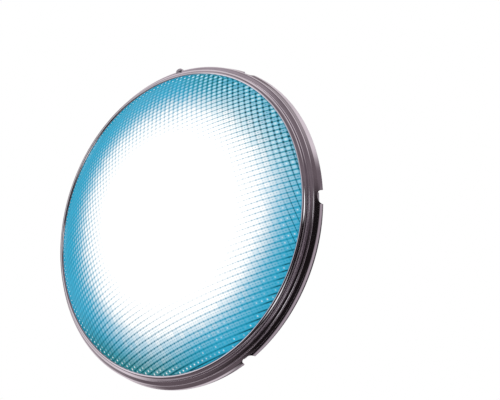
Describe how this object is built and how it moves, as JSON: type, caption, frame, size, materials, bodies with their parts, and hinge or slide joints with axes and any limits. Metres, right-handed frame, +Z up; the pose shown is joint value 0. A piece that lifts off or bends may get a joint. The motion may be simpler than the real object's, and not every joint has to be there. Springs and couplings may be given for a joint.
{
  "type": "underwater pool light",
  "caption": "Round underwater pool light: domed prismatic glass lens in a slim notched stainless face ring, spun housing with cable gland behind, captive pilot screw at the top.",
  "frame": {"origin": "centre of the plane of the face ring's rear edge, which seats on the front of the niche", "axes": "-Y is the way the light faces, +Y runs back into the niche along the lens axis, +Z is up through the pilot screw at 12 o'clock"},
  "size_m": [0.2668, 0.1711, 0.2674],
  "materials": {
    "face_ring": "polished stainless sheet",
    "pressed_steel": "satin stainless sheet",
    "housing_steel": "deep-drawn satin stainless",
    "fastener_steel": "turned stainless",
    "lens_glass": "prismatic tempered glass",
    "seal_rubber": "soft silicone",
    "dark_plastic": "matt moulded",
    "clear_plastic": "clear moulded",
    "circuit_board": "white solder mask",
    "driver_board": "green solder mask",
    "thermal_pad": "soft filled silicone",
    "aluminium": "cast",
    "brass": "turned",
    "white_emitter": "phosphor",
    "red_emitter": "clear dome",
    "green_emitter": "clear dome",
    "blue_emitter": "clear dome",
    "capacitor_can": "sleeved can",
    "ferrite": "ferrite and tape",
    "terminal_plastic": "moulded"
  },
  "bodies": {
    "light": {"face_ring": "face_ring", "ring_clips": "pressed_steel", "bottom_hook": "pressed_steel", "lens": "lens_glass", "lens_gasket": "seal_rubber", "housing": "housing_steel", "tension_clamp": "pressed_steel", "clamp_screw": "fastener_steel", "clamp_nut": "fastener_steel", "inner_bezel": "dark_plastic", "led_board": "circuit_board", "led_board_screws": "fastener_steel", "led_optics": "clear_plastic", "thermal_pad": "thermal_pad", "heat_sink": "aluminium", "heat_sink_brackets": "pressed_steel", "heat_sink_screws": "fastener_steel", "driver_board": "driver_board", "driver_spacers": "brass", "driver_screws": "fastener_steel", "driver_transformer": "ferrite", "driver_capacitors": "capacitor_can", "terminal_block": "terminal_plastic", "ground_stud": "fastener_steel", "ground_lug": "brass", "ground_nuts": "fastener_steel", "gland_body": "brass", "gland_washer": "seal_rubber", "gland_locknut": "brass", "gland_grommet": "seal_rubber", "gland_cap": "brass", "white_leds": "white_emitter", "red_leds": "red_emitter", "green_leds": "green_emitter", "blue_leds": "blue_emitter"},
    "screw_washer": {"pilot_screw_washer": "seal_rubber"},
    "screw": {"pilot_screw": "fastener_steel"}
  },
  "joints": [
    {"name": "pilot_screw_travel", "type": "slide", "parent": "light", "child": "screw_washer", "axis": [0, -1, 0], "range_m": [0, 0.0049]},
    {"name": "pilot_screw_turn", "type": "hinge", "parent": "screw_washer", "child": "screw", "pos_m": [0, 0, 0.1303], "axis": [0, -1, 0], "range_deg": [0, 2520]}
  ],
  "couplings": [
    {"joint": "pilot_screw_turn", "follows": "pilot_screw_travel", "rad_per_m": 8975.9}
  ]
}
